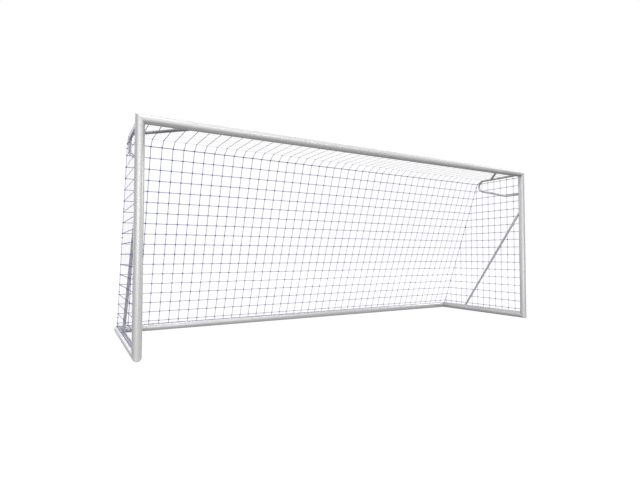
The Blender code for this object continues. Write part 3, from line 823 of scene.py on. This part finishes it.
def hook_strip(node, start, end, out, stem_way, hooks):
    """Slide-in strip along a groove with a rounded hook at each place."""
    along = (end - start).normalized()
    length = (end - start).length
    half = STRIP_WIDTH / 2
    edge = STRIP_TOP - STRIP_CHAMFER
    section = [
        (STRIP_LOW, -half), (edge, -half), (STRIP_TOP, STRIP_CHAMFER - half),
        (STRIP_TOP, half - STRIP_CHAMFER), (edge, half), (STRIP_LOW, half),
    ]
    shape = Shape()
    hook_spans = [(place - HOOK_WIDTH / 2, place + HOOK_WIDTH / 2) for place in hooks]
    for profile, spans in ((section, [(0.0, length)]), (hook_outline(), hook_spans)):
        around = distances([Vector(p) for p in profile])
        for low, high in spans:
            rings = []
            for level in (low, high):
                rings.append([start + along * level + out * r + stem_way * t for r, t in profile])
            shape.skin(rings, [low, high], around)
    strip = shape.piece(node + "_detail", [PLASTIC], STRIP_SHARP_ANGLE)
    bevel = strip.modifiers.new("soft_edges", "BEVEL")
    bevel.width = STRIP_BEVEL
    bevel.segments = 1
    bevel.limit_method = "ANGLE"
    bevel.angle_limit = math.radians(STRIP_BEVEL_ANGLE)
    place_piece(strip, "hook_plastic", node)


def hook_places(first, last, pitch, low, high):
    """Middles of every third mesh cell from first to last that lie within the strip."""
    places = []
    count = int(round((last - first) / pitch))
    for cell in range(0, count, CELLS_PER_HOOK):
        place = first + (cell + 0.5) * pitch
        if low + HOOK_WIDTH < place < high - HOOK_WIDTH:
            places.append(place - low)
    return places


def build_strips():
    """Hook strips in the grooves of all six tubes."""
    low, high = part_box("crossbar_hook_strip")
    cell = 2 * PANEL_X / MESH_CELLS_WIDE
    wide = hook_places(-PANEL_X, PANEL_X, cell, low.x, high.x)
    out = Y * math.cos(ROOF_ANGLE) + Z * math.sin(ROOF_ANGLE)
    hook_strip(
        "crossbar_hook_strip", Vector((low.x, POST_Y, BAR_Z)), Vector((high.x, POST_Y, BAR_Z)),
        out, out.cross(-X), wide)
    out = Z * math.cos(BACK_ANGLE) - Y * math.sin(BACK_ANGLE)
    hook_strip(
        "rear_hook_strip", Vector((low.x, REAR_Y, GROUND_Z)), Vector((high.x, REAR_Y, GROUND_Z)),
        out, out.cross(-X), wide)
    for side, sign in SIDES:
        outward = X * sign
        post_x = sign * POST_X
        low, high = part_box(side + "_post_hook_strip")
        rows_down = int((SHOULDER_Z - low.z) / MESH_HEIGHT_PITCH)
        row_zero = SHOULDER_Z - rows_down * MESH_HEIGHT_PITCH
        out = Y * math.cos(SIDE_ANGLE) + outward * math.sin(SIDE_ANGLE)
        stem = outward * math.cos(SIDE_ANGLE) - Y * math.sin(SIDE_ANGLE)
        hook_strip(
            side + "_post_hook_strip", Vector((post_x, POST_Y, low.z)),
            Vector((post_x, POST_Y, high.z)), out, stem,
            hook_places(row_zero, SHOULDER_Z, MESH_HEIGHT_PITCH, low.z, high.z))
        low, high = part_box(side + "_ground_hook_strip")
        columns_forward = int((ROOF_REAR_Y - low.y) / MESH_DEPTH_PITCH)
        column_zero = ROOF_REAR_Y - columns_forward * MESH_DEPTH_PITCH
        out = Z * math.cos(SIDE_ANGLE) + outward * math.sin(SIDE_ANGLE)
        stem = outward * math.cos(SIDE_ANGLE) - Z * math.sin(SIDE_ANGLE)
        hook_strip(
            side + "_ground_hook_strip", Vector((post_x, low.y, GROUND_Z)),
            Vector((post_x, high.y, GROUND_Z)), out, stem,
            hook_places(column_zero, high.y, MESH_DEPTH_PITCH, low.y, high.y))


# Net

def flat_section(width, thickness):
    """Six-sided flat section of a braided cord, as (across, out) points."""
    edge = width / 2
    flat = edge * CORD_FLAT_SHARE
    t = thickness / 2
    return [(edge, 0), (flat, t), (-flat, t), (-edge, 0), (-flat, -t), (flat, -t)]


def add_cord(shape, start, end, normal, size, chance):
    """One flat strand between two knots, with a slight natural bend."""
    way = (end - start).normalized()
    across = normal.cross(way)
    section = flat_section(*size)
    bend = across * chance.uniform(-CORD_WOBBLE, CORD_WOBBLE)
    bend += normal * chance.uniform(-CORD_WOBBLE, CORD_WOBBLE)
    length = (end - start).length
    rings = []
    for share in CORD_STEPS:
        swell = 1.0 if 0 < share < 1 else CORD_END_SWELL
        centre = start.lerp(end, share) + bend * (4 * share * (1 - share))
        rings.append([centre + across * (a * swell) + normal * (b * swell) for a, b in section])
    sides = len(section)
    around = [i / sides for i in range(sides + 1)]
    shape.skin(rings, [share * length for share in CORD_STEPS], around)


def add_lump(shape, centre, way, across, normal, size):
    """One rounded half of a knot."""
    length, width, thickness = size
    rings = []
    for i in range(1, KNOT_RINGS):
        turn = math.pi * i / KNOT_RINGS
        place = centre - way * (length / 2 * math.cos(turn))
        scale = math.sin(turn)
        ring = []
        for k in range(KNOT_SIDES):
            angle = 2 * math.pi * k / KNOT_SIDES
            ring.append(
                place + across * (width / 2 * scale * math.cos(angle))
                + normal * (thickness / 2 * scale * math.sin(angle)))
        rings.append(ring)
    around = [k / KNOT_SIDES for k in range(KNOT_SIDES + 1)]
    first_ring = len(shape.points)
    along = [length * i / KNOT_RINGS for i in range(1, KNOT_RINGS)]
    shape.skin(rings, along, around, slot=1, caps=False)
    last_ring = len(shape.points) - KNOT_SIDES
    for ring, end in ((first_ring, -1), (last_ring, 1)):
        tip = len(shape.points)
        shape.points.append(centre + way * (end * length / 2))
        for k in range(KNOT_SIDES):
            corners = (ring + k, ring + (k + 1) % KNOT_SIDES, tip)
            places = ((around[k], 0), (around[k + 1], 0), (around[k], length / KNOT_RINGS / 2))
            shape.face(corners, places, 1)


def add_knot(shape, centre, way, normal, size, chance):
    """Knot of two crossed lumps where strands meet."""
    across = normal.cross(way)
    for sign, scale in KNOT_LUMPS:
        turn = sign * KNOT_TURN + chance.uniform(-KNOT_TURN_SPREAD, KNOT_TURN_SPREAD)
        along = way * math.cos(turn) + across * math.sin(turn)
        beside = across * math.cos(turn) - way * math.sin(turn)
        add_lump(shape, centre, along, beside, normal, [scale * side for side in size])


def net_piece(node, knots, strands, normal, knot_size):
    """One panel of the net from its knots and (first, second, kind of cord) strands."""
    chance = random.Random(NET_SEED + len(node))
    shape = Shape()
    for a, b, kind in strands:
        add_cord(shape, knots[a], knots[b], normal, CORD_SIZES[kind], chance)
    ways = {}
    sizes = {}
    for a, b, kind in strands:
        for index in (a, b):
            ways.setdefault(index, (knots[b] - knots[a]).normalized())
            if kind in RIM_KNOTS:
                sizes[index] = RIM_KNOTS[kind]
    if knot_size:
        for index, way in ways.items():
            add_knot(shape, knots[index], way, normal, sizes.get(index, knot_size), chance)
    # The knots' lumps take the second material, the darker copy of the cord with painted shade
    place_piece(shape.piece(node + "_mesh", [CORD, SHADED_KNOT_CORD], NET_SHARP_ANGLE), "net_cord", node)


def grid_panel(node, rows, normal, row_kinds, column_kind, knot_size):
    """Panel whose rows run straight across the goal at (y, z) places."""
    knots = []
    for y, z in rows:
        for i in range(MESH_CELLS_WIDE + 1):
            knots.append(Vector((PANEL_X * (2 * i / MESH_CELLS_WIDE - 1), y, z)))
    wide = MESH_CELLS_WIDE + 1
    strands = []
    for r in range(len(rows)):
        for c in range(wide):
            here = r * wide + c
            if c + 1 < wide and row_kinds[r]:
                strands.append((here, here + 1, row_kinds[r]))
            if r + 1 < len(rows):
                strands.append((here, here + wide, "seam" if c in (0, wide - 1) else column_kind))
    net_piece(node, knots, strands, normal, knot_size)


def between(low, high, start, pitch):
    """Values start, start + pitch, ... that stay clear of low and high."""
    first = math.ceil((low - start) / pitch)
    last = math.floor((high - start) / pitch)
    values = [start + i * pitch for i in range(first, last + 1)]
    return [value for value in values if low + KNOT_CLEARANCE < value < high - KNOT_CLEARANCE]


def side_panel(node, x, outline, rows, columns, normal):
    """Side net of level rows and upright columns inside a five-cornered outline.

    It starts at the hooks' line on the tubes and comes in to the other panels within one mesh cell.
    """
    edge = list(outline)
    count = len(outline)

    def ends(axis, value):
        """Where a level row or an upright column meets the outline."""
        found = []
        for i in range(count):
            a, b = outline[i], outline[(i + 1) % count]
            if min(a[axis], b[axis]) <= value < max(a[axis], b[axis]):
                share = (value - a[axis]) / (b[axis] - a[axis])
                found.append(a[1 - axis] + (b[1 - axis] - a[1 - axis]) * share)
        return sorted(found)

    def edge_knot(point):
        """The rim's knot at a point, which may be one that is there already."""
        nearest = min(edge, key=lambda other: math.dist(point, other))
        if math.dist(point, nearest) < KNOT_CLEARANCE:
            return nearest
        edge.append(point)
        return point

    row_ends = {row: ends(1, row) for row in rows}
    column_ends = {column: ends(0, column) for column in columns}
    margin = KNOT_CLEARANCE / 2

    def crosses(column, row):
        """Whether a column and a row meet well inside the outline."""
        near, far = row_ends[row]
        low, high = column_ends[column]
        return near + margin < column < far - margin and low + margin < row < high - margin

    lines = []
    for row in rows:
        near, far = row_ends[row]
        line = [(column, row) for column in columns if crosses(column, row)]
        kind = "hem" if row == min(rows) else "row"
        lines.append((kind, [edge_knot((near, row))] + line + [edge_knot((far, row))]))
    for column in columns:
        low, high = column_ends[column]
        line = [(column, row) for row in sorted(rows) if crosses(column, row)]
        lines.append(("column", [edge_knot((column, low))] + line + [edge_knot((column, high))]))
    middle_y = sum(p[0] for p in outline) / count
    middle_z = sum(p[1] for p in outline) / count
    rim = sorted(edge, key=lambda p: math.atan2(p[1] - middle_z, p[0] - middle_y))
    index = {}

    def number(point):
        """Number of the knot at a point."""
        return index.setdefault(point, len(index))

    strands = []
    for a, b in zip(rim, rim[1:] + rim[:1]):
        on_tube = a[0] == b[0] == SIDE_FRONT_Y or a[1] == b[1] == SIDE_FOOT_Z
        on_roof = a[1] == b[1] == ROOF_Z
        strands.append((number(a), number(b), "rope" if on_tube else "seam" if on_roof else "edge"))
    for kind, line in lines:
        strands += [(number(a), number(b), kind) for a, b in zip(line, line[1:])]
    knots = []
    for depth, height in index:
        reach = min(depth - SIDE_FRONT_Y, height - SIDE_FOOT_Z) / SIDE_REACH
        inward = (SIDE_NET_X - PANEL_X) * min(1, reach)
        knots.append(Vector((math.copysign(abs(x) - inward, x), depth, height)))
    net_piece(node, knots, strands, normal, KNOT_SIZE)


def build_net():
    """Roof, shoulder, back and two side panels."""
    roof_rows = [ROOF_REAR_Y]
    while roof_rows[-1] - MESH_DEPTH_PITCH > FRONT_Y + KNOT_CLEARANCE:
        roof_rows.append(roof_rows[-1] - MESH_DEPTH_PITCH)
    rows = [(y, ROOF_Z) for y in roof_rows] + [(FRONT_Y, ROOF_Z)]
    kinds = ["ridge"] + ["roof_row"] * (len(roof_rows) - 1) + ["rope"]
    grid_panel("roof_net", rows, Z, kinds, "roof_column", ROOF_KNOT_SIZE)

    slope = Vector((0, SHOULDER_Y - ROOF_REAR_Y, SHOULDER_Z - ROOF_Z)).normalized()
    grid_panel(
        "shoulder_net", [(ROOF_REAR_Y, ROOF_Z), (SHOULDER_Y, SHOULDER_Z)],
        X.cross(slope).normalized(), [None, None], "column", None)

    down = Vector((0, FOOT_Y - SHOULDER_Y, FOOT_Z - SHOULDER_Z))
    rows = [(SHOULDER_Y, SHOULDER_Z)]
    height = SHOULDER_Z - MESH_HEIGHT_PITCH
    while height > FOOT_Z + KNOT_CLEARANCE:
        share = (SHOULDER_Z - height) / (SHOULDER_Z - FOOT_Z)
        rows.append((SHOULDER_Y + down.y * share, height))
        height -= MESH_HEIGHT_PITCH
    rows.append((FOOT_Y, FOOT_Z))
    kinds = ["head"] + ["row"] * (len(rows) - 2) + ["rope"]
    grid_panel("back_net", rows, X.cross(down).normalized(), kinds, "column", KNOT_SIZE)

    outline = [
        (SIDE_FRONT_Y, SIDE_FOOT_Z),
        (SIDE_FRONT_Y, ROOF_Z),
        (ROOF_REAR_Y, ROOF_Z),
        (SHOULDER_Y, SHOULDER_Z),
        (SIDE_REAR_Y, SIDE_FOOT_Z),
    ]
    side_rows = between(SIDE_FOOT_Z, ROOF_Z, SHOULDER_Z, MESH_HEIGHT_PITCH)
    side_columns = between(SIDE_FRONT_Y, SIDE_REAR_Y, ROOF_REAR_Y, MESH_DEPTH_PITCH)
    for side, sign in SIDES:
        side_panel(side + "_side_net", sign * SIDE_NET_X, outline, side_rows, side_columns, X)


# Floor, backdrop, lights and camera

def background_rays(tree):
    """1 for rays that show the background to the camera, in a reflection or through glass."""
    rays = add_node(tree, "LightPath").outputs
    first = math_node(tree, "MAXIMUM", rays["Is Camera Ray"], rays["Is Glossy Ray"])
    return math_node(tree, "MAXIMUM", first, rays["Is Transmission Ray"])


def white_floor():
    """Floor that shows white to the camera and in reflections, and takes the goal's shadow."""
    material = bpy.data.materials.new("studio_floor")
    material.use_nodes = True
    tree = material.node_tree
    tree.nodes.clear()
    output = add_node(tree, "OutputMaterial")
    diffuse = add_node(tree, "BsdfDiffuse", Color=FLOOR_COLOUR)
    shine = add_node(tree, "Emission", Color=WHITE)
    place = add_node(tree, "TexCoord")
    reach = add_node(tree, "VectorMath")
    reach.operation = "LENGTH"
    tree.links.new(place.outputs["Object"], reach.inputs[0])
    glow = map_range(tree, reach.outputs["Value"], FLOOR_GLOW_REACH, FLOOR_GLOW)
    strength = math_node(tree, "MULTIPLY", background_rays(tree), glow)
    tree.links.new(strength, shine.inputs["Strength"])
    both = add_node(tree, "AddShader")
    tree.links.new(diffuse.outputs["BSDF"], both.inputs[0])
    tree.links.new(shine.outputs["Emission"], both.inputs[1])
    tree.links.new(both.outputs["Shader"], output.inputs["Surface"])
    return material


def soft_lamp(name, azimuth, elevation, distance, size, level):
    """Soft lamp at a bearing from the goal, where azimuth turns from -Y towards -X.

    level is how bright it makes a white surface that faces it at the goal's middle.
    """
    light = bpy.data.lights.new(name, "AREA")
    light.shape = "DISK"
    light.size = size
    light.energy = level * (math.pi * distance) ** 2
    item = bpy.data.objects.new(name, light)
    turn = math.radians(azimuth)
    rise = math.radians(elevation)
    flat = math.cos(rise)
    way = Vector((-math.sin(turn) * flat, -math.cos(turn) * flat, math.sin(rise)))
    item.location = LAMP_TARGET + way * distance
    item.rotation_euler = (-way).to_track_quat("-Z", "Y").to_euler()
    bpy.context.scene.collection.objects.link(item)


def white_world():
    """World that shows white as a background and lights the goal far less."""
    world = bpy.data.worlds.new("studio_world")
    world.use_nodes = True
    tree = world.node_tree
    tree.nodes.clear()
    output = add_node(tree, "OutputWorld")
    shown = add_node(tree, "Background", Color=WHITE, Strength=1.0)
    lit = add_node(tree, "Background", Color=WHITE, Strength=WORLD_LEVEL)
    choice = add_node(tree, "MixShader")
    tree.links.new(background_rays(tree), choice.inputs["Fac"])
    tree.links.new(lit.outputs["Background"], choice.inputs[1])
    tree.links.new(shown.outputs["Background"], choice.inputs[2])
    tree.links.new(choice.outputs["Shader"], output.inputs["Surface"])
    return world


def build_studio():
    """White floor and backdrop, soft lamps and the camera."""
    scene = bpy.context.scene
    scene.view_settings.view_transform = "Standard"
    floor = bpy.data.meshes.new("studio_floor")
    corners = [Vector((x, y, 0)) * FLOOR_REACH for x, y in FLOOR_CORNERS]
    floor.from_pydata(corners, [], [(0, 1, 2, 3)])
    floor.materials.append(white_floor())
    item = bpy.data.objects.new("studio_floor", floor)
    scene.collection.objects.link(item)

    scene.world = white_world()
    for lamp in LAMPS:
        soft_lamp(*lamp)

    camera = bpy.data.objects.new("photo_camera", bpy.data.cameras.new("photo_camera"))
    camera.data.lens = CAMERA_LENS
    camera.data.sensor_width = CAMERA_SENSOR
    camera.location = CAMERA_PLACE
    camera.rotation_euler = (math.radians(90 + CAMERA_PITCH), 0, math.radians(-CAMERA_YAW))
    scene.collection.objects.link(camera)
    scene.camera = camera


build_frame()
build_bars()
build_strips()
build_net()
build_studio()
